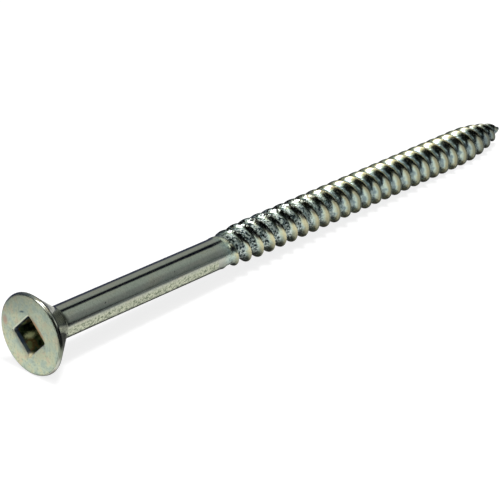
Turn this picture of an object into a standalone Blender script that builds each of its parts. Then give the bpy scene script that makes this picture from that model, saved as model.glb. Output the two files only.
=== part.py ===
# Flat head wood screw, square drive, with a plain shank, a rolled twin thread and a gimlet point.
# It is one cold-formed piece of steel wire: the head is upset and punched, the thread is rolled.
# The screw lies on its side on a level surface, on the edge of its head and on a thread crest.
# +X runs from the head to the point, +Z is up, and the origin is the middle of the footprint.

import math

import bmesh
import bpy
from mathutils import Matrix, Vector

# Lengths along the screw, in metres, measured from the flat of the head
LENGTH = 0.0762
SHANK_LENGTH = 0.0247
POINT_LENGTH = 0.0092
HEAD_EDGE = 0.00024

# Diameters
HEAD_DIAMETER = 0.00835
SHANK_DIAMETER = 0.00338
THREAD_DIAMETER = 0.00432
ROOT_DIAMETER = 0.0029
TIP_DIAMETER = 0.00046

# Head: the cone under it, and its rounded corners; the cone meets the shank in a crisp neck
COUNTERSINK_ANGLE = math.radians(80)
EDGE_ROUNDING = 0.00007
NECK_FILLET = 0.00016

# Thread: right-hand, of two ridges that start on opposite sides and run side by side, each with
# a narrow crest and filleted roots; the pitch is from one crest to the next
START_COUNT = 2
PITCH = 0.0254 / 14
CREST_WIDTH = 0.00015
FLANK_ANGLE = math.radians(29)
ROOT_FILLET = 0.00017

# Pitches in which the ridges rise out of the shank, the grooves sink, the ridges draw closer
# together on the point (by a share that grows with the square of the pitches), and they fade
RISING_PITCHES = 3.5
SINKING_PITCHES = 0.6
TIGHT_PITCHES = 3.0
TIGHTENING = 0.049
FADING_PITCHES = 0.3

# Point: how full its ogive is, the thread's height at its end, and its blunt tip
POINT_FULLNESS = 2.2
POINT_THREAD_HEIGHT = 0.00022
TIP_ROUNDING = 0.0002
TIP_GAP = 0.00004

# Square recess: straight walls with a little draft, a flared mouth and a shallow pyramid below
RECESS_WIDTH = 0.00282
RECESS_DEPTH = 0.0022
RECESS_DRAFT = 0.00010
RECESS_MOUTH_WIDTH = 0.00310
RECESS_MOUTH_DEPTH = 0.00045
RECESS_FLOOR_DEPTH = 0.0004
RECESS_TURN = math.radians(45)

# Facets round the axis, shared by the head, the shank and the thread; the first ridge starts at one
COLUMNS_PER_START = 14
START_COLUMN = 8
FILLET_STEPS = 2
TIP_STEPS = 2

# Finish: bright zinc plate, smooth over every edge blunter than this
SHARP_ANGLE = math.radians(35)
ZINC_COLOUR = (0.52, 0.54, 0.51, 1.0)
ZINC_ROUGHNESS = 0.28

HEAD_RADIUS = HEAD_DIAMETER / 2
SHANK_RADIUS = SHANK_DIAMETER / 2
THREAD_RADIUS = THREAD_DIAMETER / 2
ROOT_RADIUS = ROOT_DIAMETER / 2
TIP_RADIUS = TIP_DIAMETER / 2

COLUMNS = START_COUNT * COLUMNS_PER_START
FLANK_WIDTH = (THREAD_RADIUS - ROOT_RADIUS) * math.tan(FLANK_ANGLE)
RIDGE_HALF_WIDTH = CREST_WIDTH / 2 + FLANK_WIDTH + ROOT_FILLET
THREAD_START = SHANK_LENGTH + RIDGE_HALF_WIDTH
THREAD_END = LENGTH - TIP_ROUNDING - TIP_GAP - RIDGE_HALF_WIDTH / 2
RIDGES = int((THREAD_END - THREAD_START) / PITCH + TIGHTENING * TIGHT_PITCHES ** 2)


def column_angle(column):
    """Angle of a column round the axis, from +Y towards +Z; a flat facet faces straight down."""
    return math.tau * (column + 0.5) / COLUMNS - math.pi / 2


def on_screw(station, radius, angle):
    """The point at a station along the screw, at a radius and an angle round its axis."""
    return Vector((station, radius * math.cos(angle), radius * math.sin(angle)))


def fillet(start, corner, end, steps):
    """Points of a rounded corner in a turned profile, from start to end."""
    points = []
    for step in range(steps + 1):
        t = step / steps
        points.append(start.lerp(corner, t).lerp(corner.lerp(end, t), t))
    return points


def head_and_shank_profile():
    """Turned outline, as (station, radius), from the flat of the head to the start of the shank."""
    slope = math.tan(COUNTERSINK_ANGLE / 2)
    edge = Vector((HEAD_EDGE, HEAD_RADIUS))
    neck = Vector((HEAD_EDGE + (HEAD_RADIUS - SHANK_RADIUS) / slope, SHANK_RADIUS))
    up_cone = (edge - neck).normalized() * NECK_FILLET
    down_shank = Vector((NECK_FILLET, 0.0))
    profile = [Vector((0.0, HEAD_RADIUS - EDGE_ROUNDING)), Vector((EDGE_ROUNDING, HEAD_RADIUS)), edge]
    return profile + fillet(neck + up_cone, neck, neck + down_shank, FILLET_STEPS)


def tip_profile():
    """Turned outline of the blunt tip, a quarter round that ends short of the axis."""
    profile = []
    for step in range(TIP_STEPS + 1):
        angle = step / (TIP_STEPS + 1) * math.pi / 2
        station = LENGTH - TIP_ROUNDING + TIP_ROUNDING * math.sin(angle)
        profile.append(Vector((station, TIP_RADIUS * math.cos(angle))))
    return profile


def ridge_profile():
    """One thread ridge across, as (distance from its middle, share of the thread's height)."""
    fillet_share = ROOT_FILLET / FLANK_WIDTH / 2
    foot = (CREST_WIDTH / 2 + FLANK_WIDTH * (1 - fillet_share), fillet_share)
    half = [(RIDGE_HALF_WIDTH, 0.0), foot, (CREST_WIDTH / 2, 1.0)]
    head_side = [(-offset, height) for offset, height in half]
    return head_side + half[::-1]


def tapered(station, full_radius, end_radius):
    """A radius that is full along the thread and closes in an ogive along the point."""
    along_point = max(0.0, 1 - (LENGTH - station) / POINT_LENGTH)
    return end_radius + (full_radius - end_radius) * (1 - along_point ** POINT_FULLNESS)


def ridge_radius(passed):
    """Radius of the crest, which rises out of the shank, fast at first, in the first pitches."""
    missing = 1 - min(1.0, passed / RISING_PITCHES)
    return THREAD_RADIUS + (SHANK_RADIUS - THREAD_RADIUS) * missing ** 2


def groove_radius(passed, offset):
    """Radius of the groove on one side of a ridge; it sinks into the shank as it begins."""
    groove_passed = passed - 1 if offset < 0 else passed
    sunk = max(0.0, min(1.0, groove_passed / SINKING_PITCHES))
    return SHANK_RADIUS + (ROOT_RADIUS - SHANK_RADIUS) * sunk


def ridge_station(passed):
    """Station of a ridge's middle; on the point the ridges lie closer together."""
    tight = max(0.0, passed - RIDGES + TIGHT_PITCHES)
    return THREAD_START + PITCH * (passed - TIGHTENING * tight ** 2)


def ridge_share(station):
    """How high and wide a ridge is, as a share of a full one; it grows smaller on the point."""
    crest = tapered(station, THREAD_RADIUS, TIP_RADIUS + POINT_THREAD_HEIGHT)
    return (crest - tapered(station, ROOT_RADIUS, TIP_RADIUS)) / (THREAD_RADIUS - ROOT_RADIUS)


def thread_point(column, ridge, offset, height):
    """A point of the thread's surface, where a column crosses a ridge, counted from the shank."""
    passed = ridge + column % COLUMNS_PER_START / COLUMNS_PER_START
    middle = ridge_station(passed)
    station = middle + offset * ridge_share(middle)
    root = tapered(station, groove_radius(passed, offset), TIP_RADIUS)
    crest = tapered(station, ridge_radius(passed), TIP_RADIUS + POINT_THREAD_HEIGHT)
    left = min(1.0, (RIDGES - passed) / FADING_PITCHES)
    return on_screw(station, root + (crest - root) * height * left, column_angle(START_COLUMN + column))


def add_ring(mesh, station, radius):
    """A ring of vertices round the axis, one in each column."""
    angles = [column_angle(START_COLUMN + column) for column in range(COLUMNS)]
    return [mesh.verts.new(on_screw(station, radius, angle)) for angle in angles]


def join_rings(mesh, ring, next_ring):
    """A band of faces between two rings."""
    for column in range(COLUMNS):
        after = (column + 1) % COLUMNS
        mesh.faces.new((ring[column], next_ring[column], next_ring[after], ring[after]))


def add_thread(mesh):
    """The rolled thread: a column of vertices for each facet, joined round the screw as a helix."""
    columns = []
    for column in range(COLUMNS):
        points = []
        for ridge in range(RIDGES):
            for offset, height in ridge_profile():
                points.append(mesh.verts.new(thread_point(column, ridge, offset, height)))
        columns.append(points)
    for column in range(COLUMNS):
        after = (column + 1) % COLUMNS
        ahead = points_ahead(after)
        join_columns(mesh, columns[column], columns[after][ahead:])
    return columns


def points_ahead(column):
    """How many points a column has before the ones its neighbour meets: a ridge's where one starts."""
    return 0 if column % COLUMNS_PER_START else len(ridge_profile())


def join_columns(mesh, column, next_column):
    """A strip of faces between two columns of the thread, from the head end to the point."""
    for i in range(len(next_column) - 1):
        mesh.faces.new((column[i], column[i + 1], next_column[i + 1], next_column[i]))


def close_thread_start(mesh, ring, columns):
    """Faces of the shank, up to the thread, with a longer face where each ridge starts."""
    for column in range(COLUMNS):
        after = (column + 1) % COLUMNS
        beside = columns[after][:points_ahead(after) + 1]
        mesh.faces.new([ring[column], columns[column][0]] + beside[::-1] + [ring[after]])


def close_thread_end(mesh, ring, columns):
    """Faces between the thread and the tip, with a longer face where each ridge ends."""
    for column in range(COLUMNS):
        after = (column + 1) % COLUMNS
        beside = columns[column][-points_ahead(after) - 1:]
        mesh.faces.new(beside + [ring[column], ring[after], columns[after][-1]])


def build_blank_mesh():
    """The whole screw before its recess is punched, as one closed surface along +X."""
    mesh = bmesh.new()
    rings = [add_ring(mesh, station, radius) for station, radius in head_and_shank_profile()]
    tip_rings = [add_ring(mesh, station, radius) for station, radius in tip_profile()]
    for ring, next_ring in zip(rings, rings[1:]):
        join_rings(mesh, ring, next_ring)
    for ring, next_ring in zip(tip_rings, tip_rings[1:]):
        join_rings(mesh, ring, next_ring)
    columns = add_thread(mesh)
    close_thread_start(mesh, rings[-1], columns)
    close_thread_end(mesh, tip_rings[0], columns)
    mesh.faces.new(rings[0])
    mesh.faces.new(tip_rings[-1][::-1])
    bmesh.ops.recalc_face_normals(mesh, faces=mesh.faces)
    return mesh


def square_section(mesh, station, width):
    """The four corners of the recess at a station."""
    corners = []
    for quarter in range(4):
        angle = RECESS_TURN + math.pi / 4 + quarter * math.pi / 2
        corners.append(mesh.verts.new(on_screw(station, width / math.sqrt(2), angle)))
    return corners


def build_recess_mesh():
    """The punch that forms the square recess, from above the head down to its pyramid."""
    flare = (RECESS_MOUTH_WIDTH - RECESS_WIDTH) / RECESS_MOUTH_DEPTH
    above = -RECESS_MOUTH_DEPTH
    sections = [
        (above, RECESS_MOUTH_WIDTH - flare * above),
        (RECESS_MOUTH_DEPTH, RECESS_WIDTH),
        (RECESS_DEPTH, RECESS_WIDTH - RECESS_DRAFT),
    ]
    mesh = bmesh.new()
    squares = [square_section(mesh, station, width) for station, width in sections]
    for square, next_square in zip(squares, squares[1:]):
        for corner in range(4):
            after = (corner + 1) % 4
            mesh.faces.new((square[corner], next_square[corner], next_square[after], square[after]))
    mesh.faces.new(squares[0])
    apex = mesh.verts.new((RECESS_DEPTH + RECESS_FLOOR_DEPTH, 0.0, 0.0))
    for corner in range(4):
        mesh.faces.new((squares[-1][corner], apex, squares[-1][(corner + 1) % 4]))
    bmesh.ops.recalc_face_normals(mesh, faces=mesh.faces)
    return mesh


def resting_place(mesh):
    """The turn and the shift that lay the screw down: head edge and a crest both touch Z = 0."""
    heel = on_screw(HEAD_EDGE, HEAD_RADIUS * math.cos(math.pi / COLUMNS), -math.pi / 2)
    beyond = [v.co for v in mesh.verts if v.co.x > SHANK_LENGTH]
    tilt = min(math.atan2(co.z - heel.z, co.x - heel.x) for co in beyond)
    turn = Matrix.Rotation(tilt, 4, 'Y')
    turned = [turn @ v.co for v in mesh.verts]
    middle = (min(co.x for co in turned) + max(co.x for co in turned)) / 2
    lowest = min(co.z for co in turned)
    return Matrix.Translation((-middle, 0.0, -lowest)) @ turn


def zinc_plated_steel():
    """Bright zinc plate over steel."""
    material = bpy.data.materials.new("zinc_plated_steel")
    material.use_nodes = True
    shader = material.node_tree.nodes["Principled BSDF"]
    shader.inputs["Base Color"].default_value = ZINC_COLOUR
    shader.inputs["Metallic"].default_value = 1.0
    shader.inputs["Roughness"].default_value = ZINC_ROUGHNESS
    return material


def add_object(name, mesh, place):
    """A new object in the scene, made from the mesh and laid in its place."""
    data = bpy.data.meshes.new(name)
    mesh.to_mesh(data)
    mesh.free()
    thing = bpy.data.objects.new(name, data)
    thing.matrix_world = place
    bpy.context.scene.collection.objects.link(thing)
    return thing


def build_screw():
    """The wood screw, lying at rest, with its recess cut by the punch."""
    blank = build_blank_mesh()
    place = resting_place(blank)
    screw = add_object("wood_screw", blank, place)
    screw.data.materials.append(zinc_plated_steel())
    screw.data.shade_smooth()
    screw.data.set_sharp_from_angle(angle=SHARP_ANGLE)
    punch = add_object("recess_punch", build_recess_mesh(), place)
    punch.hide_render = True
    punch.display_type = 'WIRE'
    recess = screw.modifiers.new("square_recess", 'BOOLEAN')
    recess.operation = 'DIFFERENCE'
    recess.solver = 'EXACT'
    recess.object = punch
    return screw


def clear_scene():
    """Start from an empty scene."""
    for thing in list(bpy.data.objects):
        bpy.data.objects.remove(thing, do_unlink=True)


clear_scene()
build_screw()
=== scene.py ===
import math

import bmesh
import bpy
from mathutils import Matrix, Vector


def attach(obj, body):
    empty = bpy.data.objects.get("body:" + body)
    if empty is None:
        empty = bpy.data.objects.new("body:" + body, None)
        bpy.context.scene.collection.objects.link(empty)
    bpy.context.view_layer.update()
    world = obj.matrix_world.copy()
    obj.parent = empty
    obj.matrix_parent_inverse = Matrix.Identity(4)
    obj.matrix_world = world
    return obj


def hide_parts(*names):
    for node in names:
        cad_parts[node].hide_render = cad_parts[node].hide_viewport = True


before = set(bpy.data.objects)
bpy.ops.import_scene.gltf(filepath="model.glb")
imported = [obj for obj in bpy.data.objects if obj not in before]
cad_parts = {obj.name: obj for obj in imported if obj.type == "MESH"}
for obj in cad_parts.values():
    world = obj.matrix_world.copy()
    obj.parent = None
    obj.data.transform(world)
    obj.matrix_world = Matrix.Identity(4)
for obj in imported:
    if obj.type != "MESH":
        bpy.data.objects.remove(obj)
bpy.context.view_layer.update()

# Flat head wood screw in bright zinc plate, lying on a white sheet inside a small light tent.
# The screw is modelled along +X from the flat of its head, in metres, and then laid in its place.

MM = 0.001

# Sizes of the real screw, as in the model that this piece dresses. Only the head's edge differs:
# the model's is 0.24 mm high with a small bevel, and this one has the real one's round corner.
LENGTH = 76.2 * MM
SHANK_LENGTH = 24.7 * MM
POINT_LENGTH = 9.2 * MM
HEAD_EDGE = 0.33 * MM
EDGE_ROUNDING = 0.24 * MM
FLAT_INSET = 0.03 * MM
COUNTERSINK_ANGLE = math.radians(80)
NECK_FILLET = 0.16 * MM
PITCH = 25.4 / 14 * MM
CREST_WIDTH = 0.15 * MM
THREAD_DEPTH = 0.71 * MM
FLANK_ANGLE = math.radians(29)
ROOT_FILLET = 0.17 * MM
RISING_PITCHES = 3.5
SINKING_PITCHES = 0.6
TIGHT_PITCHES = 3.0
TIGHTENING = 0.049
FADING_PITCHES = 0.3
POINT_FULLNESS = 2.2
TIP_ROUNDING = 0.2 * MM
BEND_START = 65.0 * MM
BEND_RISE = 0.2 * MM

# The model has flat facets round its axis; a round bar that lies inside them touches their middles
CAD_FACETS = 28
ROUND = math.cos(math.pi / CAD_FACETS)
HEAD_RADIUS = 4.175 * MM * ROUND
SHANK_RADIUS = 1.69 * MM * ROUND
THREAD_RADIUS = 2.16 * MM * ROUND
ROOT_RADIUS = 1.45 * MM * ROUND
TIP_RADIUS = 0.23 * MM * ROUND
POINT_THREAD_HEIGHT = 0.22 * MM

# The lie of the screw: dipped towards its point until the head's edge and a crest both touch down
DIP = math.radians(1.70368)
LIE = Matrix.Translation((-38.01083 * MM, 0.0, 4.15405 * MM)) @ Matrix.Rotation(DIP, 4, 'Y')

# Vertices round the screw, for each of the two ridges, and where the first ridge starts
COLUMNS_PER_START = 56
COLUMNS = 2 * COLUMNS_PER_START
FIRST_COLUMN = 6

# Steps in the head's and the tip's rounded corners, and where the turned part meets the thread
CORNER_STEPS = 8
TIP_STEPS = 5
THREAD_JOIN = SHANK_LENGTH - 0.4 * MM
THREAD_FINISH_START = SHANK_LENGTH - 0.3 * MM

# Square recess, punched a touch off the middle, with a mouth 0.08 mm wider than the model's
RECESS_WIDTH = 2.82 * MM
RECESS_DEPTH = 2.2 * MM
RECESS_DRAFT = 0.10 * MM
RECESS_MOUTH_WIDTH = 3.18 * MM
RECESS_MOUTH_DEPTH = 0.45 * MM
RECESS_FLOOR_DEPTH = 0.4 * MM
RECESS_POINT_WIDTH = 0.2 * MM
RECESS_SHIFT = (0.17 * MM, -0.22 * MM)
RECESS_TURN = math.radians(45)
PUNCH_CORNER = 0.16 * MM
MOUTH_SOFTENING = 0.09 * MM

FLANK_WIDTH = THREAD_DEPTH * math.tan(FLANK_ANGLE)
RIDGE_HALF_WIDTH = CREST_WIDTH / 2 + FLANK_WIDTH + ROOT_FILLET
THREAD_START = SHANK_LENGTH + RIDGE_HALF_WIDTH
RIDGES = 28


def column_angle(column):
    """Angle of a column round the axis, from +Y towards +Z."""
    return math.tau * (FIRST_COLUMN + column) / COLUMNS


def on_screw(station, radius, angle):
    """The point at a station along the screw, at a radius and an angle round its axis."""
    return Vector((station, radius * math.cos(angle), radius * math.sin(angle)))


def start_piece():
    """Nothing selected, and object mode, before a primitive is added."""
    if bpy.context.object and bpy.context.object.mode != 'OBJECT':
        bpy.ops.object.mode_set(mode='OBJECT')
    bpy.ops.object.select_all(action='DESELECT')


# Head and shank

def turned_profile():
    """Outline of the head and the shank, as (station, radius), from the shank's end to the flat."""
    slope = math.tan(COUNTERSINK_ANGLE / 2)
    neck = HEAD_EDGE + (HEAD_RADIUS - SHANK_RADIUS) / slope
    profile = [(THREAD_JOIN, SHANK_RADIUS)]
    for share in (0.8, 0.6, 0.4, 0.2):
        station = neck + NECK_FILLET + (SHANK_LENGTH - neck - NECK_FILLET) * share
        profile.append((station, SHANK_RADIUS))
    start = Vector((neck + NECK_FILLET, SHANK_RADIUS))
    corner = Vector((neck, SHANK_RADIUS))
    up_cone = Vector((-math.cos(COUNTERSINK_ANGLE / 2), math.sin(COUNTERSINK_ANGLE / 2)))
    end = corner + up_cone * NECK_FILLET
    for step in range(CORNER_STEPS + 1):
        t = step / CORNER_STEPS
        profile.append(tuple(start.lerp(corner, t).lerp(corner.lerp(end, t), t)))
    # The last ring on the cone lies just short of the rim
    below_rim = Vector((HEAD_EDGE + 0.05 * MM, HEAD_RADIUS - 0.042 * MM))
    profile += [tuple(end.lerp(below_rim, share)) for share in (0.25, 0.5, 0.75, 1.0)]
    return profile + rim()


def rim():
    """The rim of the head: its corner is rounded down to the edge of the cone."""
    points = []
    for step in range(CORNER_STEPS + 1):
        angle = step / CORNER_STEPS * math.pi / 2
        points.append((HEAD_EDGE * (1 - math.sin(angle)),
                       HEAD_RADIUS - EDGE_ROUNDING * (1 - math.cos(angle))))
    return points + [(0.0, HEAD_RADIUS - EDGE_ROUNDING - FLAT_INSET)]


def turn_head_and_shank():
    """The head and shank, drawn ring by ring from the shank's end to the flat of the head."""
    profile = turned_profile()
    start_piece()
    bpy.ops.mesh.primitive_circle_add(vertices=COLUMNS, radius=profile[0][1],
                                      location=(profile[0][0], 0.0, 0.0),
                                      rotation=(0.0, math.pi / 2, 0.0))
    screw = bpy.context.object
    screw.name = "plated_screw"
    bpy.ops.object.transform_apply(location=True, rotation=True, scale=True)
    bpy.ops.object.mode_set(mode='EDIT')
    bpy.ops.mesh.select_all(action='SELECT')
    for (station, radius), (next_station, next_radius) in zip(profile, profile[1:]):
        bpy.ops.mesh.extrude_region_move(
            TRANSFORM_OT_translate={"value": (next_station - station, 0.0, 0.0)})
        grown = next_radius / radius
        bpy.ops.transform.resize(value=(1.0, grown, grown),
                                 center_override=(next_station, 0.0, 0.0))
    bpy.ops.mesh.edge_face_add()
    bpy.ops.object.mode_set(mode='OBJECT')
    return screw


# Thread: it is drawn in code, because its ridges rise, sink and taper as they wind

def ridge_profile():
    """One ridge across, as (distance from its middle, share of its height), towards the point."""
    fillet_share = ROOT_FILLET / FLANK_WIDTH
    foot = Vector((CREST_WIDTH / 2 + FLANK_WIDTH * (1 - fillet_share), fillet_share))
    corner = Vector((CREST_WIDTH / 2 + FLANK_WIDTH, 0.0))
    end = Vector((RIDGE_HALF_WIDTH, 0.0))
    # From the groove up: the root's fillet, the flank, and the crest's rounded corner
    half = [end]
    for t in (0.78, 0.55, 0.3, 0.0):
        half.append(foot.lerp(corner, t).lerp(corner.lerp(end, t), t))
    for height in (0.68, 0.9):
        half.append(Vector((CREST_WIDTH / 2 + FLANK_WIDTH * (1 - height), height)))
    half.append(Vector((CREST_WIDTH * 0.42, 0.975)))
    half.append(Vector((CREST_WIDTH * 0.2, 1.0)))
    points = [(point.x, point.y) for point in half]
    return [(-offset, height) for offset, height in points] + points[::-1]


def tapered(station, full_radius, end_radius):
    """A radius that is full along the thread and closes in an ogive along the point."""
    along_point = max(0.0, 1 - (LENGTH - station) / POINT_LENGTH)
    return end_radius + (full_radius - end_radius) * (1 - along_point ** POINT_FULLNESS)


def ridge_radius(passed):
    """Radius of the crest, which rises out of the shank, fast at first, in the first pitches."""
    missing = 1 - min(1.0, passed / RISING_PITCHES)
    return THREAD_RADIUS + (SHANK_RADIUS - THREAD_RADIUS) * missing ** 2


def groove_radius(passed, offset):
    """Radius of the groove on one side of a ridge; it sinks into the shank as it begins."""
    groove_passed = passed - 1 if offset < 0 else passed
    sunk = max(0.0, min(1.0, groove_passed / SINKING_PITCHES))
    return SHANK_RADIUS + (ROOT_RADIUS - SHANK_RADIUS) * sunk


def bend(station):
    """How far the point is bent up, as the real one is."""
    return BEND_RISE * max(0.0, (station - BEND_START) / (LENGTH - BEND_START)) ** 2


def ridge_station(passed):
    """Station of a ridge's middle; on the point the ridges lie closer together."""
    tight = max(0.0, passed - RIDGES + TIGHT_PITCHES)
    return THREAD_START + PITCH * (passed - TIGHTENING * tight ** 2)


def ridge_share(station):
    """How high and wide a ridge is, as a share of a full one; it grows smaller on the point."""
    crest = tapered(station, THREAD_RADIUS, TIP_RADIUS + POINT_THREAD_HEIGHT)
    return (crest - tapered(station, ROOT_RADIUS, TIP_RADIUS)) / (THREAD_RADIUS - ROOT_RADIUS)


def thread_point(column, ridge, offset, height):
    """A point of the thread's surface, where a column crosses a ridge, counted from the shank."""
    passed = ridge + column % COLUMNS_PER_START / COLUMNS_PER_START
    middle = ridge_station(passed)
    station = middle + offset * ridge_share(middle)
    root = tapered(station, groove_radius(passed, offset), TIP_RADIUS)
    crest = tapered(station, ridge_radius(passed), TIP_RADIUS + POINT_THREAD_HEIGHT)
    left = min(1.0, (RIDGES - passed) / FADING_PITCHES)
    place = on_screw(station, root + (crest - root) * height * left, column_angle(column))
    place.z += bend(station)
    return place


def ring_at(mesh, station, radius):
    """A ring of vertices round the axis, one in each column."""
    ring = []
    for column in range(COLUMNS):
        place = on_screw(station, radius, column_angle(column))
        place.z += bend(station)
        ring.append(mesh.verts.new(place))
    return ring


def open_ring(mesh):
    """The ring of vertices that the shank ends in, in the order of the columns."""
    ends = [v for v in mesh.verts if any(e.is_boundary for e in v.link_edges)]
    first = column_angle(0) - math.pi / COLUMNS
    return sorted(ends, key=lambda v: (math.atan2(v.co.z, v.co.y) - first) % math.tau)


def points_ahead(column):
    """How many points a column has before those its neighbour meets: a ridge's where one starts."""
    return 0 if column % COLUMNS_PER_START else len(ridge_profile())


def roll_thread(screw):
    """The thread and the tip, joined to the shank's end as one closed surface."""
    mesh = bmesh.new()
    mesh.from_mesh(screw.data)
    shank_end = open_ring(mesh)
    columns = []
    for column in range(COLUMNS):
        points = []
        for ridge in range(RIDGES):
            for offset, height in ridge_profile():
                points.append(mesh.verts.new(thread_point(column, ridge, offset, height)))
        columns.append(points)
    tip = []
    for step in range(TIP_STEPS):
        angle = step / TIP_STEPS * math.pi / 2
        station = LENGTH - TIP_ROUNDING * (1 - math.sin(angle))
        tip.append(ring_at(mesh, station, TIP_RADIUS * math.cos(angle)))
    for column in range(COLUMNS):
        after = (column + 1) % COLUMNS
        ahead = points_ahead(after)
        here, beside = columns[column], columns[after]
        for i in range(len(beside) - ahead - 1):
            mesh.faces.new((here[i], here[i + 1], beside[ahead + i + 1], beside[ahead + i]))
        mesh.faces.new([shank_end[column], here[0]] + beside[:ahead + 1][::-1] + [shank_end[after]])
        mesh.faces.new(here[-ahead - 1:] + [tip[0][column], tip[0][after], beside[-1]])
        for ring, next_ring in zip(tip, tip[1:]):
            mesh.faces.new((ring[column], next_ring[column], next_ring[after], ring[after]))
    mesh.faces.new(tip[-1][::-1])
    bmesh.ops.recalc_face_normals(mesh, faces=mesh.faces)
    mesh.to_mesh(screw.data)
    mesh.free()


# Recess

def make_punch():
    """The square punch: a four-sided bar, flared at the mouth and pointed below."""
    flare = (RECESS_MOUTH_WIDTH - RECESS_WIDTH) / RECESS_MOUTH_DEPTH
    sections = [(-RECESS_MOUTH_DEPTH, RECESS_MOUTH_WIDTH + flare * RECESS_MOUTH_DEPTH),
                (RECESS_MOUTH_DEPTH, RECESS_WIDTH),
                (RECESS_DEPTH, RECESS_WIDTH - RECESS_DRAFT),
                (RECESS_DEPTH + RECESS_FLOOR_DEPTH, RECESS_POINT_WIDTH)]
    start_piece()
    bpy.ops.mesh.primitive_circle_add(vertices=4, radius=sections[0][1] / math.sqrt(2),
                                      fill_type='NGON', rotation=(0.0, math.pi / 2, 0.0),
                                      location=(sections[0][0], *RECESS_SHIFT))
    punch = bpy.context.object
    bpy.ops.object.transform_apply(location=True, rotation=True, scale=True)
    bpy.ops.object.mode_set(mode='EDIT')
    bpy.ops.mesh.select_all(action='SELECT')
    for (station, width), (next_station, next_width) in zip(sections, sections[1:]):
        bpy.ops.mesh.extrude_region_move(
            TRANSFORM_OT_translate={"value": (next_station - station, 0.0, 0.0)})
        grown = next_width / width
        bpy.ops.transform.resize(value=(1.0, grown, grown),
                                 center_override=(next_station, *RECESS_SHIFT))
    bpy.ops.mesh.select_all(action='SELECT')
    bpy.ops.mesh.normals_make_consistent(inside=False)
    bpy.ops.mesh.select_all(action='DESELECT')
    bpy.ops.object.mode_set(mode='OBJECT')
    for edge in punch.data.edges:
        a, b = (punch.data.vertices[i].co for i in edge.vertices)
        length_along = abs(a.x - b.x)
        edge.select = length_along > 0.1 * MM
    bpy.ops.object.mode_set(mode='EDIT')
    bpy.ops.mesh.bevel(offset=PUNCH_CORNER, offset_type='OFFSET', segments=4, affect='EDGES')
    bpy.ops.object.mode_set(mode='OBJECT')
    return punch


def punch_recess(screw):
    """The recess, struck into the head by the punch, with its mouth's edge softened."""
    punch = make_punch()
    cut = screw.modifiers.new("recess", 'BOOLEAN')
    cut.operation = 'DIFFERENCE'
    cut.solver = 'EXACT'
    cut.object = punch
    start_piece()
    screw.select_set(True)
    bpy.context.view_layer.objects.active = screw
    bpy.ops.object.modifier_apply(modifier=cut.name)
    bpy.data.objects.remove(punch, do_unlink=True)
    for edge in screw.data.edges:
        a, b = (screw.data.vertices[i].co for i in edge.vertices)
        edge.select = is_mouth(a) and is_mouth(b)
    bpy.context.tool_settings.mesh_select_mode = (False, True, False)
    bpy.ops.object.mode_set(mode='EDIT')
    bpy.ops.mesh.bevel(offset=MOUTH_SOFTENING, segments=1, affect='EDGES')
    bpy.ops.object.mode_set(mode='OBJECT')


def is_mouth(co):
    """Whether a vertex is on the recess's mouth, in the flat of the head."""
    return abs(co.x) < 0.001 * MM and math.hypot(co.y, co.z) < RECESS_MOUTH_WIDTH * 0.8


def store_thread_height(screw):
    """How high each point is on its ridge, from 0 at the root to 1 at the crest, for the finish."""
    heights = []
    for vertex in screw.data.vertices:
        station = vertex.co.x
        radius = math.hypot(vertex.co.y, vertex.co.z - bend(station))
        root = tapered(station, ROOT_RADIUS, TIP_RADIUS)
        crest = tapered(station, THREAD_RADIUS, TIP_RADIUS + POINT_THREAD_HEIGHT)
        heights.append(max(0.0, min(1.0, (radius - root) / (crest - root))))
    attribute = screw.data.attributes.new("ridge_height", 'FLOAT', 'POINT')
    attribute.data.foreach_set("value", heights)


# Materials. Where inputs go by number, a Map Range takes the value (0), the range that it is read
# over (1, 2) and the range that it becomes (3, 4), and a Mix takes its amount (0) and two numbers
# (2, 3) or two colours (6, 7). A tint's layers are laid in the order in which they are written.

SMOOTH = {'interpolation_type': 'SMOOTHSTEP'}
COLOURS = {'data_type': 'RGBA'}
PLUS, TIMES = {'operation': 'ADD'}, {'operation': 'MULTIPLY'}


def linear(hex_colour):
    """An sRGB hex colour as the linear RGBA that a socket takes."""
    values = []
    for i in (1, 3, 5):
        v = int(hex_colour[i:i + 2], 16) / 255
        values.append(v / 12.92 if v <= 0.04045 else ((v + 0.055) / 1.055) ** 2.4)
    return (*values, 1.0)


def feed(tree, node, inputs):
    """Sets each input of a node to a value or a hex colour, or links it to a socket."""
    for key, value in inputs.items():
        if isinstance(value, bpy.types.NodeSocket):
            tree.links.new(value, node.inputs[key])
        else:
            node.inputs[key].default_value = linear(value) if isinstance(value, str) else value


def add(tree, kind, settings=None, inputs=None, out=0):
    """Adds a node with its settings, colour stops and inputs, and gives back one of its outputs."""
    node = tree.nodes.new(kind)
    for name, value in (settings or {}).items():
        if name == 'stops':
            elements = node.color_ramp.elements
            elements.remove(elements[1])
            elements[0].position, elements[0].color = value[0][0], linear(value[0][1])
            for place, colour in value[1:]:
                elements.new(place).color = linear(colour)
        else:
            setattr(node, name, value)
    feed(tree, node, inputs or {})
    return node.outputs[out] if node.outputs else node


def metal(name):
    """A metal material: its tree, its shader, and where each point is on the unlaid screw."""
    material = bpy.data.materials.new(name)
    material.use_nodes = True
    tree = material.node_tree
    shader = tree.nodes['Principled BSDF']
    shader.inputs['Metallic'].default_value = 1.0
    place = add(tree, 'ShaderNodeTexCoord', out='Object')
    where = add(tree, 'ShaderNodeMapping', {'vector_type': 'TEXTURE'},
                {'Vector': place, 'Location': LIE.to_translation(), 'Rotation': (0.0, DIP, 0.0)})
    return material, tree, shader, where


def laid_over(tree, tint, layers):
    """A tint with further colours laid over it, each by its own amount."""
    for amount, colour in layers:
        tint = add(tree, 'ShaderNodeMix', COLOURS, {0: amount, 6: tint, 7: colour}, out=2)
    return tint


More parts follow.
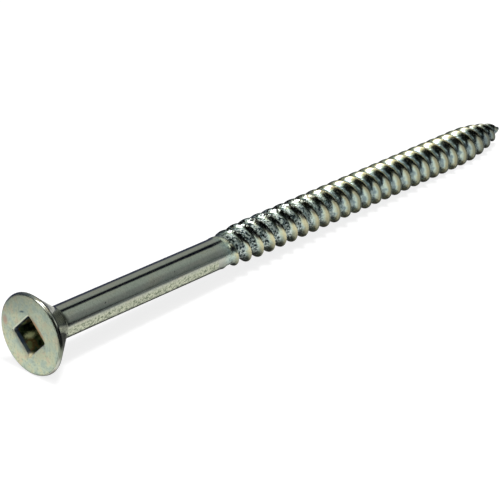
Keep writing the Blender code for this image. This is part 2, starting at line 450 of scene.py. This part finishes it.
def mark(tree, where, centre, reach, turn, amount):
    """The amount of a mark, placed and measured in millimetres; it fades at its reach."""
    local = add(tree, 'ShaderNodeMapping', {'vector_type': 'TEXTURE'},
                {'Vector': where, 'Location': Vector(centre) * MM, 'Rotation': (turn, 0.0, 0.0),
                 'Scale': Vector(reach) * MM})
    away = add(tree, 'ShaderNodeVectorMath', {'operation': 'LENGTH'}, {0: local}, out='Value')
    uneven = add(tree, 'ShaderNodeTexNoise', None, {'Vector': where, 'Scale': 1 / (0.2 * MM)})
    edge = add(tree, 'ShaderNodeMath', {'operation': 'MULTIPLY_ADD'}, {0: uneven, 1: 0.6, 2: away})
    return add(tree, 'ShaderNodeMapRange', SMOOTH, {0: edge, 1: 0.6, 2: 1.4, 3: amount, 4: 0.0})


def window(tree, value, low, high, soft):
    """1 where a value is between low and high, falling to 0 over a soft edge outside them."""
    rise = add(tree, 'ShaderNodeMapRange', SMOOTH,
               {0: value, 1: low - soft, 2: low, 3: 0.0, 4: 1.0})
    fall = add(tree, 'ShaderNodeMapRange', SMOOTH,
               {0: value, 1: high, 2: high + soft, 3: 1.0, 4: 0.0})
    return add(tree, 'ShaderNodeMath', TIMES, {0: rise, 1: fall})


def struck_face():
    """Zinc plate on the flat, where the die struck it: satin, softly clouded in teal and cream, and
    darker towards its upper side, which is painted shade. It has a pink bruise near the rim, an
    orange-tan line along one side of the recess and a blue scratch above it. Its tooth is drawn
    coarser than the real one, or it couldn't be seen."""
    material, tree, shader, where = metal("zinc_plate_struck_face")
    cloud = add(tree, 'ShaderNodeTexNoise', None,
                {'Vector': where, 'Scale': 1 / (1.1 * MM), 'Detail': 5.0, 'Roughness': 0.62})
    fleck = add(tree, 'ShaderNodeTexNoise', None,
                {'Vector': where, 'Scale': 1 / (0.26 * MM), 'Detail': 4.0, 'Roughness': 0.6})
    tooth = add(tree, 'ShaderNodeTexNoise', None, {'Vector': where, 'Scale': 1 / (0.12 * MM)})
    up = add(tree, 'ShaderNodeVectorMath', {'operation': 'DOT_PRODUCT'},
             {0: where, 1: (0.0, -0.4, 1.0)}, out='Value')
    # Painted shade: the flat grows darker towards its upper side.
    painted_top_shade = add(tree, 'ShaderNodeMapRange', SMOOTH,
              {0: up, 1: -3.6 * MM, 2: 3.0 * MM, 3: 0.0, 4: 0.36})
    worn = add(tree, 'ShaderNodeMapRange', SMOOTH, {0: fleck, 1: 0.5, 2: 0.68, 3: 0.0, 4: 0.5})
    pale = add(tree, 'ShaderNodeMapRange', SMOOTH, {0: fleck, 1: 0.42, 2: 0.28, 3: 0.0, 4: 0.4})
    tint = add(tree, 'ShaderNodeValToRGB', {'stops': [
        (0.36, '#BCCCC4'), (0.45, '#CCD8CA'), (0.54, '#DADEC4'), (0.64, '#E0D6BE')]}, {0: cloud})
    bruise = mark(tree, where, (0.0, 3.42, 0.46), (1.0, 0.42, 0.66), turn=0.0, amount=0.6)
    # An orange-tan line along one side of the recess's mouth.
    brown_marks = mark(tree, where, (0.0, -1.06, 1.02), (1.0, 1.7, 0.24), turn=RECESS_TURN, amount=0.9)
    scratch = mark(tree, where, (0.0, 1.02, 2.10), (1.0, 0.46, 0.13), turn=-0.31, amount=0.8)
    tint = laid_over(tree, tint, [
        (painted_top_shade, '#8B9B92'), (worn, '#98A79C'), (pale, '#EAE8D2'),
        (bruise, '#C8988A'), (brown_marks, '#BE8E5E'), (scratch, '#3E5C74')])
    rough = add(tree, 'ShaderNodeMapRange', SMOOTH, {0: fleck, 1: 0.3, 2: 0.7, 3: 0.28, 4: 0.40})
    fine = add(tree, 'ShaderNodeBump', None, {'Height': tooth, 'Distance': 0.005 * MM})
    waves = add(tree, 'ShaderNodeBump', None,
                {'Height': cloud, 'Distance': 0.02 * MM, 'Normal': fine})
    feed(tree, shader, {'Base Color': tint, 'Roughness': rough, 'Normal': waves})
    return material


def punched_recess():
    """Thin zinc in the punched square, with oil left in it: dark green and olive, partly painted
    shade and reflection, with rusty specks; a pale, matt patch of painted reflection on one wall, a
    painted glint in the lower corner, navy on the flare and a pale painted highlight on the mouth's
    edge."""
    material, tree, shader, where = metal("zinc_plate_punched_recess")
    patch = add(tree, 'ShaderNodeTexNoise', None,
                {'Vector': where, 'Scale': 1 / (1.3 * MM), 'Detail': 3.0})
    speck = add(tree, 'ShaderNodeTexNoise', None, {'Vector': where, 'Scale': 1 / (0.16 * MM)})
    deep = add(tree, 'ShaderNodeSeparateXYZ', None, {0: where}, out=0)
    flare = add(tree, 'ShaderNodeMapRange', SMOOTH,
                {0: deep, 1: 0.38 * MM, 2: 0.5 * MM, 3: 0.85, 4: 0.0})
    brown_marks = add(tree, 'ShaderNodeMapRange', SMOOTH, {0: speck, 1: 0.62, 2: 0.72, 3: 0.0, 4: 0.6})
    # Painted highlight: a pale band along the mouth's edge.
    painted_mouth_highlight = add(tree, 'ShaderNodeMapRange', SMOOTH,
              {0: deep, 1: 0.07 * MM, 2: 0.13 * MM, 3: 0.95, 4: 0.0})
    # Painted reflection: a pale, matt patch on one wall of the recess.
    painted_wall_reflection = mark(tree, where, (1.3, 1.25, -0.78), (0.9, 0.45, 1.05), turn=RECESS_TURN, amount=1.0)
    # Painted glint in the recess's lower corner.
    glint = mark(tree, where, (0.22, 0.04, -2.26), (0.6, 0.5, 0.46), turn=0.0, amount=1.0)
    bloom = add(tree, 'ShaderNodeMath', PLUS, {0: painted_wall_reflection, 1: glint})
    matt = add(tree, 'ShaderNodeMapRange', None, {0: bloom, 3: 0.9, 4: 0.2})
    # The dark green and olive patches are partly painted shade and painted reflection in the
    # recess.
    tint = add(tree, 'ShaderNodeValToRGB', {'stops': [
        (0.38, '#303E30'), (0.48, '#65765A'), (0.57, '#A2835C'), (0.64, '#C0D09C')]}, {0: patch})
    tint = laid_over(tree, tint, [
        (painted_wall_reflection, '#EEF6C0'), (flare, '#4E5E7A'), (brown_marks, '#8A5A48'), (painted_mouth_highlight, '#E0E4D4'),
        (glint, '#FFF6CC')])
    rough = add(tree, 'ShaderNodeMapRange', SMOOTH, {0: speck, 1: 0.3, 2: 0.7, 3: 0.3, 4: 0.5})
    fine = add(tree, 'ShaderNodeBump', None, {'Height': speck, 'Distance': 0.012 * MM})
    waves = add(tree, 'ShaderNodeBump', None,
                {'Height': patch, 'Distance': 0.05 * MM, 'Normal': fine})
    feed(tree, shader, {'Base Color': tint, 'Roughness': rough, 'Metallic': matt, 'Normal': waves})
    return material


def drawn_shank():
    """Zinc plate on the drawn wire and the cone: bright and smooth, with faint streaks along it and
    a few pits. The wire is speckled below, with painted shade along its lowest side. The cone is
    darker with painted shade, most of all in a patch near its neck, and has a dark band of painted
    reflection just behind the head's edge and painted shade on the rim's sides. The speckle is
    drawn coarser than the real one."""
    material, tree, shader, where = metal("zinc_plate_drawn_shank")
    stretched = add(tree, 'ShaderNodeMapping', None, {'Vector': where, 'Scale': (0.3, 1.0, 1.0)})
    cloud = add(tree, 'ShaderNodeTexNoise', None,
                {'Vector': stretched, 'Scale': 1 / (0.7 * MM), 'Detail': 4.0, 'Roughness': 0.6})
    fleck = add(tree, 'ShaderNodeTexNoise', None,
                {'Vector': where, 'Scale': 1 / (0.24 * MM), 'Detail': 3.0, 'Roughness': 0.7})
    pit = add(tree, 'ShaderNodeTexNoise', None,
              {'Vector': where, 'Scale': 1 / (0.32 * MM), 'Detail': 1.0})
    tooth = add(tree, 'ShaderNodeTexNoise', None, {'Vector': where, 'Scale': 1 / (0.1 * MM)})
    along, up = (add(tree, 'ShaderNodeSeparateXYZ', None, {0: where}, out=i) for i in (0, 2))
    head = add(tree, 'ShaderNodeMapRange', SMOOTH,
               {0: along, 1: 3.1 * MM, 2: 3.5 * MM, 3: 1.0, 4: 0.0})
    wire = add(tree, 'ShaderNodeMath', {'operation': 'SUBTRACT'}, {0: 1.0, 1: head})
    under = add(tree, 'ShaderNodeMapRange', SMOOTH,
                {0: up, 1: 0.3 * MM, 2: -0.3 * MM, 3: 0.15, 4: 1.0})
    under = add(tree, 'ShaderNodeMath', TIMES, {0: under, 1: wire})
    worn = add(tree, 'ShaderNodeMapRange', SMOOTH, {0: fleck, 1: 0.51, 2: 0.58, 3: 0.0, 4: 0.9})
    worn = add(tree, 'ShaderNodeMath', TIMES, {0: worn, 1: under})
    pale = add(tree, 'ShaderNodeMapRange', SMOOTH, {0: fleck, 1: 0.47, 2: 0.40, 3: 0.0, 4: 0.9})
    pale = add(tree, 'ShaderNodeMath', TIMES, {0: pale, 1: under})
    pits = add(tree, 'ShaderNodeMapRange', SMOOTH, {0: pit, 1: 0.74, 2: 0.80, 3: 0.0, 4: 0.85})
    tint = add(tree, 'ShaderNodeValToRGB', {'stops': [
        (0.35, '#C4C9C4'), (0.5, '#CCCEC9'), (0.65, '#D0CDC4')]}, {0: cloud})
    # Painted shade: the cone is darker than the wire.
    cone = add(tree, 'ShaderNodeMapRange', SMOOTH,
               {0: along, 1: 0.15 * MM, 2: 0.6 * MM, 3: 0.0, 4: 0.65})
    cone = add(tree, 'ShaderNodeMath', TIMES, {0: cone, 1: head})
    # Painted reflection: a dark band just behind the head's edge.
    painted_edge_reflection = window(tree, along, 0.32 * MM, 0.46 * MM, 0.14 * MM)
    # Painted shade: a dark patch on the cone's upper side near the neck.
    neck = add(tree, 'ShaderNodeMath', TIMES,
               {0: window(tree, along, 1.2 * MM, 3.3 * MM, 0.5 * MM),
                1: window(tree, up, 0.4 * MM, 1.2 * MM, 0.35 * MM)})
    neck = add(tree, 'ShaderNodeMath', TIMES, {0: neck, 1: 0.8})
    # Painted shade on the rim, where it faces the sides.
    painted_rim_side_shade = add(tree, 'ShaderNodeMath', TIMES,
                   {0: window(tree, along, -0.1 * MM, 0.28 * MM, 0.1 * MM),
                    1: window(tree, up, -0.8 * MM, 0.8 * MM, 0.8 * MM)})
    # Painted shade along the wire's lowest side.
    painted_underside_shade = add(tree, 'ShaderNodeMapRange', SMOOTH,
               {0: up, 1: -0.9 * MM, 2: -1.25 * MM, 3: 0.0, 4: 0.9})
    painted_underside_shade = add(tree, 'ShaderNodeMath', TIMES, {0: painted_underside_shade, 1: wire})
    tint = laid_over(tree, tint, [
        (under, '#BEC2B2'), (worn, '#6E7A66'), (pale, '#DADEC8'), (painted_underside_shade, '#39403A'),
        (pits, '#262C2C'), (cone, '#868C80'), (painted_edge_reflection, '#2A3038'), (neck, '#4E544C'),
        (painted_rim_side_shade, '#8C9286')])
    rough = add(tree, 'ShaderNodeMapRange', SMOOTH, {0: fleck, 1: 0.3, 2: 0.7, 3: 0.09, 4: 0.16})
    fine = add(tree, 'ShaderNodeBump', None, {'Height': tooth, 'Distance': 0.0016 * MM})
    waves = add(tree, 'ShaderNodeBump', None,
                {'Height': cloud, 'Distance': 0.01 * MM, 'Normal': fine})
    feed(tree, shader, {'Base Color': tint, 'Roughness': rough, 'Normal': waves})
    return material


def rolled_thread():
    """Zinc plate on the rolled thread: slate in the roots, which is painted shade, and teal on the
    flanks turning tan towards the crests, which is painted reflection. The first turns are rough
    and pitted in the roots, with painted shade below and dark patches of painted reflection above,
    where pits break up the highlight. Further on the crests carry painted shade at the sides and
    below, and the tip is dark. The pits are drawn coarser than the real ones."""
    material, tree, shader, where = metal("zinc_plate_rolled_thread")
    height = add(tree, 'ShaderNodeAttribute', {'attribute_name': "ridge_height"}, out='Fac')
    along, up = (add(tree, 'ShaderNodeSeparateXYZ', None, {0: where}, out=i) for i in (0, 2))
    cloud = add(tree, 'ShaderNodeTexNoise', None,
                {'Vector': where, 'Scale': 1 / (0.8 * MM), 'Detail': 3.0, 'Roughness': 0.6})
    fleck = add(tree, 'ShaderNodeTexNoise', None,
                {'Vector': where, 'Scale': 1 / (0.17 * MM), 'Detail': 3.0, 'Roughness': 0.7})
    pit = add(tree, 'ShaderNodeTexNoise', None,
              {'Vector': where, 'Scale': 1 / (0.28 * MM), 'Detail': 2.0, 'Roughness': 0.65})
    tooth = add(tree, 'ShaderNodeTexNoise', None, {'Vector': where, 'Scale': 1 / (0.11 * MM)})

    # The tint by the height on the ridge, and its flecks: the roots' slate is painted shade, and
    # the flanks' teal and tan are painted reflection
    lift = add(tree, 'ShaderNodeMapRange', SMOOTH, {0: cloud, 1: 0.3, 2: 0.7, 3: -0.2, 4: 0.2})
    uneven = add(tree, 'ShaderNodeMath', PLUS, {0: height, 1: lift})
    tint = add(tree, 'ShaderNodeValToRGB', {'stops': [
        (0.0, '#8A9EA8'), (0.12, '#98AAB2'), (0.26, '#CEE2DE'), (0.55, '#D8DEC8'),
        (0.8, '#E4DAB4'), (0.95, '#E4DEBC')]}, {0: uneven})
    worn = add(tree, 'ShaderNodeMapRange', SMOOTH, {0: fleck, 1: 0.50, 2: 0.72, 3: 0.0, 4: 0.4})

    # How far a place belongs to the first turns or to the later ones, and where the thread begins
    early = add(tree, 'ShaderNodeMapRange', SMOOTH,
                {0: along, 1: 34.0 * MM, 2: 48.0 * MM, 3: 1.0, 4: 0.12})
    late = add(tree, 'ShaderNodeMapRange', None, {0: early, 3: 1.0, 4: 0.0})
    smooth = add(tree, 'ShaderNodeMapRange', SMOOTH,
                 {0: along, 1: 24.6 * MM, 2: 26.2 * MM, 3: 1.0, 4: 0.0})
    begun = add(tree, 'ShaderNodeMath', {'operation': 'SUBTRACT'}, {0: 1.0, 1: smooth})

    # The first turns: coarse roots, painted shade on the underside, dark painted reflection on the
    # upper flanks, and pits over them
    low = add(tree, 'ShaderNodeMapRange', SMOOTH, {0: height, 1: 0.08, 2: 0.42, 3: 1.0, 4: 0.06})
    coarse = add(tree, 'ShaderNodeMath', TIMES, {0: low, 1: early})
    coarse = add(tree, 'ShaderNodeMath', TIMES, {0: coarse, 1: begun})
    # Painted shade on the first turns' undersides.
    under = add(tree, 'ShaderNodeMapRange', SMOOTH,
                {0: up, 1: 0.3 * MM, 2: -1.3 * MM, 3: 0.0, 4: 0.78})
    under = add(tree, 'ShaderNodeMath', TIMES, {0: under, 1: early})
    outer = add(tree, 'ShaderNodeMapRange', SMOOTH, {0: height, 1: 0.35, 2: 0.65, 3: 0.0, 4: 0.92})
    # Painted reflection: dark patches on the upper flanks of the first turns.
    painted_dark_reflection = add(tree, 'ShaderNodeMapRange', SMOOTH,
                 {0: up, 1: 0.5 * MM, 2: 1.0 * MM, 3: 0.0, 4: 1.0})
    painted_dark_reflection = add(tree, 'ShaderNodeMath', TIMES, {0: painted_dark_reflection, 1: outer})
    painted_dark_reflection = add(tree, 'ShaderNodeMath', TIMES, {0: painted_dark_reflection, 1: early})
    crown = add(tree, 'ShaderNodeMapRange', SMOOTH,
                {0: up, 1: 1.0 * MM, 2: 1.4 * MM, 3: 0.0, 4: 1.0})
    crown = add(tree, 'ShaderNodeMath', TIMES, {0: crown, 1: painted_dark_reflection})
    pitted = add(tree, 'ShaderNodeMath', {'operation': 'ADD', 'use_clamp': True},
                 {0: coarse, 1: crown})
    black = add(tree, 'ShaderNodeMapRange', SMOOTH, {0: pit, 1: 0.52, 2: 0.58, 3: 0.0, 4: 0.95})
    black = add(tree, 'ShaderNodeMath', TIMES, {0: black, 1: pitted})
    pale = add(tree, 'ShaderNodeMapRange', SMOOTH, {0: pit, 1: 0.50, 2: 0.44, 3: 0.0, 4: 0.95})
    pale = add(tree, 'ShaderNodeMath', TIMES, {0: pale, 1: pitted})

    # The later turns: painted shade on the crests at the side and below, and the dark tip
    side = add(tree, 'ShaderNodeMapRange', SMOOTH,
               {0: up, 1: 1.7 * MM, 2: 0.9 * MM, 3: 0.0, 4: 1.0})
    # Painted shade on the sides of the later crests, darker still at their edge.
    painted_crest_shade = add(tree, 'ShaderNodeMapRange', SMOOTH, {0: height, 1: 0.3, 2: 0.75, 3: 0.0, 4: 0.85})
    painted_crest_shade = add(tree, 'ShaderNodeMath', TIMES, {0: painted_crest_shade, 1: late})
    painted_crest_shade = add(tree, 'ShaderNodeMath', TIMES, {0: painted_crest_shade, 1: side})
    crest = add(tree, 'ShaderNodeMapRange', SMOOTH, {0: height, 1: 0.82, 2: 0.98, 3: 0.0, 4: 1.0})
    crest = add(tree, 'ShaderNodeMath', TIMES, {0: crest, 1: late})
    edge = add(tree, 'ShaderNodeMath', TIMES, {0: crest, 1: side})
    # Painted shade on the later crests, below.
    painted_underside_shade = add(tree, 'ShaderNodeMapRange', SMOOTH,
               {0: up, 1: 0.4 * MM, 2: -0.5 * MM, 3: 0.0, 4: 0.8})
    painted_underside_shade = add(tree, 'ShaderNodeMath', TIMES, {0: painted_underside_shade, 1: crest})
    tip = add(tree, 'ShaderNodeMapRange', SMOOTH,
              {0: along, 1: 66 * MM, 2: 73 * MM, 3: 0.0, 4: 0.65})

    tint = laid_over(tree, tint, [
        (smooth, '#CCCEC9'), (worn, '#93A098'), (painted_crest_shade, '#8C8A74'), (edge, '#6E766E'),
        (painted_underside_shade, '#3A423E'), (under, '#3C4642'), (painted_dark_reflection, '#20262A'), (tip, '#4C5660'),
        (black, '#11181A'), (pale, '#EAF4F4')])
    rough = add(tree, 'ShaderNodeMapRange', SMOOTH, {0: fleck, 1: 0.3, 2: 0.7, 3: 0.13, 4: 0.21})
    rough = add(tree, 'ShaderNodeMath', {'operation': 'MULTIPLY_ADD'},
                {0: coarse, 1: 0.22, 2: rough})
    rough = add(tree, 'ShaderNodeMath', {'operation': 'MULTIPLY_ADD'}, {0: edge, 1: 0.18, 2: rough})
    holes = add(tree, 'ShaderNodeMath', TIMES, {0: pit, 1: coarse})
    fine = add(tree, 'ShaderNodeBump', None, {'Height': tooth, 'Distance': 0.002 * MM})
    waves = add(tree, 'ShaderNodeBump', None,
                {'Height': holes, 'Distance': 0.15 * MM, 'Normal': fine})
    feed(tree, shader, {'Base Color': tint, 'Roughness': rough, 'Normal': waves})
    return material


def finish_screw(screw):
    """The plate's finish on the flat, in the recess, on the cone and shank, and on the thread."""
    for material in (struck_face(), punched_recess(), drawn_shank(), rolled_thread()):
        screw.data.materials.append(material)
    for face in screw.data.polygons:
        face.material_index = finish_of(face.center)


def finish_of(co):
    """Which finish a face takes, by its middle: 0 the flat, 1 the recess, 2 the cone and shank,
    3 the thread."""
    if co.x > THREAD_FINISH_START:
        return 3
    side = (abs(co.y - RECESS_SHIFT[0]) + abs(co.z - RECESS_SHIFT[1])) * math.sqrt(0.5)
    in_recess = 0.01 * MM < co.x < RECESS_DEPTH + RECESS_FLOOR_DEPTH
    if in_recess and side < RECESS_MOUTH_WIDTH * 0.55:
        return 1
    return 0 if co.x < FLAT_INSET else 2


# Studio

TENT_RADIUS = 0.7
TENT_FOOT = -0.01  # just below the floor
RAYS = ('Is Camera Ray', 'Is Glossy Ray')


def view_angles(tree):
    """Azimuth from +Y, and elevation, of each point of the tent, in degrees."""
    where = add(tree, 'ShaderNodeTexCoord', out='Object')
    unit = add(tree, 'ShaderNodeVectorMath', {'operation': 'NORMALIZE'}, {0: where})
    ahead, aside, up = (
        add(tree, 'ShaderNodeSeparateXYZ', None, {0: unit}, out=i) for i in range(3))
    back = add(tree, 'ShaderNodeMath', TIMES, {0: ahead, 1: -1.0})
    turn = add(tree, 'ShaderNodeMath', {'operation': 'ARCTAN2'}, {0: back, 1: aside})
    lift = add(tree, 'ShaderNodeMath', {'operation': 'ARCSINE'}, {0: up})
    return [add(tree, 'ShaderNodeMath', {'operation': 'DEGREES'}, {0: angle})
            for angle in (turn, lift)]


# Panels hung in the tent: azimuth from and to, elevation from and to, soft edge, in degrees; colour
# and strength. The pale ones light the metal and the dark ones draw its lines.
PANELS = [
    ((-24, 30), (-6, 28), 8, '#747870', 1.0),
    ((3, 19), (34, 60), 11, '#030819', 1.0),
    ((32, 48), (24, 56), 7, '#A0A39C', 1.0),
    ((42, 134), (-6, 12), 7, '#3C4256', 1.0),
    ((80, 146), (34, 70), 6, '#8A9690', 1.0),
    ((80, 122), (32, 48), 6, '#566068', 1.0),
    ((80, 148), (10, 26), 5, '#464C54', 1.0),
    ((150, 184), (30, 66), 5, '#FFFFE8', 1.2),
    ((152, 172), (29, 60), 4, '#FFFFFF', 4.0),
    ((164, 200), (-8, 25), 4, '#020305', 1.0),
    ((192, 244), (-8, 43), 5, '#080A0C', 1.0),
    ((236, 270), (14, 54), 6, '#40463F', 1.0),
    ((-90, -64), (-8, 20), 5, '#14161C', 1.0),
    ((256, 270), (-8, 24), 6, '#14161C', 1.0),
    ((-86, -64), (29, 41), 5, '#E4E8DC', 1.4),
    ((-90, 270), (66, 91), 7, '#D4CEB8', 1.0),
    ((-90, 270), (83, 91), 4, '#FFFFFF', 4.0),
]


def tent_light():
    """The tent's inside: grey cloth, darker low down, with pale and dark panels on it."""
    material = bpy.data.materials.new("tent_cloth")
    material.use_nodes = True
    tree = material.node_tree
    tree.nodes.clear()
    turn, lift = view_angles(tree)
    height = add(tree, 'ShaderNodeMapRange', None, {0: lift, 1: 0.0, 2: 90.0, 3: 0.0, 4: 1.0})
    colour = add(tree, 'ShaderNodeValToRGB', {'stops': [
        (0.0, '#646C68'), (0.09, '#747B78'), (0.15, '#7F8380'), (0.3, '#858A86'),
        (0.4, '#9CA49D'), (0.6, '#A5ADA3')]}, {0: height})
    strength = 1.0
    for (east, west), (low, high), soft, paint, power in PANELS:
        across = window(tree, turn, east - 90, west - 90, soft)
        mask = add(tree, 'ShaderNodeMath', TIMES,
                   {0: across, 1: window(tree, lift, low, high, soft)})
        colour = add(tree, 'ShaderNodeMix', COLOURS, {0: mask, 6: colour, 7: paint}, out=2)
        strength = add(tree, 'ShaderNodeMix', None, {0: mask, 2: strength, 3: power})
    glow = add(tree, 'ShaderNodeEmission', None, {'Color': colour, 'Strength': strength})
    add(tree, 'ShaderNodeOutputMaterial', None, {'Surface': glow})
    return material


def hang_tent():
    """A round tent of cloth and panels, seen only in the metal."""
    start_piece()
    bpy.ops.mesh.primitive_uv_sphere_add(segments=48, ring_count=24, radius=TENT_RADIUS)
    tent = bpy.context.object
    tent.name = "light_tent"
    bpy.ops.object.mode_set(mode='EDIT')
    bpy.ops.mesh.select_all(action='SELECT')
    bpy.ops.mesh.bisect(plane_co=(0.0, 0.0, TENT_FOOT), plane_no=(0.0, 0.0, 1.0), clear_inner=True)
    bpy.ops.object.mode_set(mode='OBJECT')
    tent.data.materials.append(tent_light())
    tent.visible_camera = False
    tent.visible_diffuse = False
    tent.visible_shadow = False


def sheet_paper():
    """White paper: white to the camera, which sees the shadow on it. In the metal it is pale near
    the screw and dark further off, where the real sheet ended."""
    material = bpy.data.materials.new("white_paper")
    material.use_nodes = True
    tree = material.node_tree
    tree.nodes.clear()
    seen, shiny = (add(tree, 'ShaderNodeLightPath', out=ray) for ray in RAYS)
    where = add(tree, 'ShaderNodeTexCoord', out='Object')
    aside = add(tree, 'ShaderNodeSeparateXYZ', None, {0: where}, out=1)
    left = add(tree, 'ShaderNodeVectorMath', {'operation': 'DOT_PRODUCT'},
               {0: where, 1: (1.0, 1.07, 0.0)}, out='Value')
    front = add(tree, 'ShaderNodeMapRange', SMOOTH,
                {0: aside, 1: -8.0 * MM, 2: -16.5 * MM, 3: 0.0, 4: 1.0})
    back = add(tree, 'ShaderNodeMapRange', SMOOTH,
               {0: aside, 1: 12.5 * MM, 2: 15.5 * MM, 3: 0.0, 4: 1.0})
    corner = add(tree, 'ShaderNodeMapRange', SMOOTH,
                 {0: left, 1: -37 * MM, 2: -44 * MM, 3: 0.0, 4: 1.0})
    corner = add(tree, 'ShaderNodeMath', TIMES, {0: corner, 1: front})
    colour = laid_over(tree, '#DEDFD6', [
        (front, '#666C6C'), (corner, '#15171A'), (back, '#3C4058'), (seen, '#E6E6E6')])
    paper = add(tree, 'ShaderNodeBsdfDiffuse', None, {'Color': colour})
    glow = add(tree, 'ShaderNodeEmission', None, {'Strength': 1.25})
    share = add(tree, 'ShaderNodeMath', TIMES, {0: shiny, 1: 0.02})
    share = add(tree, 'ShaderNodeMath', {'operation': 'MULTIPLY_ADD'}, {0: seen, 1: 0.66, 2: share})
    both = add(tree, 'ShaderNodeMixShader', None, {0: share, 1: paper, 2: glow})
    add(tree, 'ShaderNodeOutputMaterial', None, {'Surface': both})
    return material


def lay_floor():
    """The sheet that the screw lies on."""
    start_piece()
    bpy.ops.mesh.primitive_plane_add(size=3.0)
    floor = bpy.context.object
    floor.name = "paper_floor"
    floor.data.materials.append(sheet_paper())


def light_world():
    """A white surround for the camera and the metal, and a soft fill for the floor."""
    world = bpy.data.worlds.new("white_room")
    world.use_nodes = True
    tree = world.node_tree
    seen, shiny = (add(tree, 'ShaderNodeLightPath', out=ray) for ray in RAYS)
    either = add(tree, 'ShaderNodeMath', {'operation': 'ADD', 'use_clamp': True},
                 {0: seen, 1: shiny})
    strength = add(tree, 'ShaderNodeMapRange', None, {0: either, 3: 0.08, 4: 1.0})
    feed(tree, tree.nodes['Background'], {'Color': '#FFFFFF', 'Strength': strength})
    bpy.context.scene.world = world


def hang_lamp(name, place, size, power):
    """A soft square lamp, aimed at the screw; the tent's panels stand for it in the metal."""
    data = bpy.data.lights.new(name, 'AREA')
    data.shape = 'SQUARE'
    data.size = size
    data.energy = power
    lamp = bpy.data.objects.new(name, data)
    lamp.location = place
    lamp.rotation_euler = (-Vector(place)).to_track_quat('-Z', 'Y').to_euler()
    lamp.visible_glossy = False
    bpy.context.scene.collection.objects.link(lamp)


def set_camera():
    """The photograph's view: long lens, level, looking down at the head end."""
    data = bpy.data.cameras.new("camera")
    data.lens = 132.902
    data.sensor_width = 36.0
    data.clip_start = 0.01
    camera = bpy.data.objects.new("camera", data)
    camera.location = (-137.6325 * MM, -116.3962 * MM, 85.9461 * MM)
    camera.rotation_euler = (math.radians(90 - 25.6707), 0.0, math.radians(-48.2697))
    bpy.context.scene.collection.objects.link(camera)
    bpy.context.scene.camera = camera


def make_screw():
    """The dressed screw, in the place of the model's solid."""
    screw = turn_head_and_shank()
    roll_thread(screw)
    punch_recess(screw)
    store_thread_height(screw)
    finish_screw(screw)
    screw.data.transform(LIE)
    start_piece()
    screw.select_set(True)
    bpy.context.view_layer.objects.active = screw
    bpy.ops.object.shade_smooth_by_angle(angle=math.radians(33))
    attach(screw, "root")
    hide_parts("wood_screw")


make_screw()
hang_tent()
lay_floor()
light_world()
hang_lamp("key_lamp", place=(-0.02, -0.09, 0.49), size=0.12, power=1.9)
hang_lamp("fill_lamp", place=(-0.25, -0.1, 0.4), size=0.3, power=0.8)
set_camera()
bpy.context.scene.view_settings.view_transform = 'Standard'
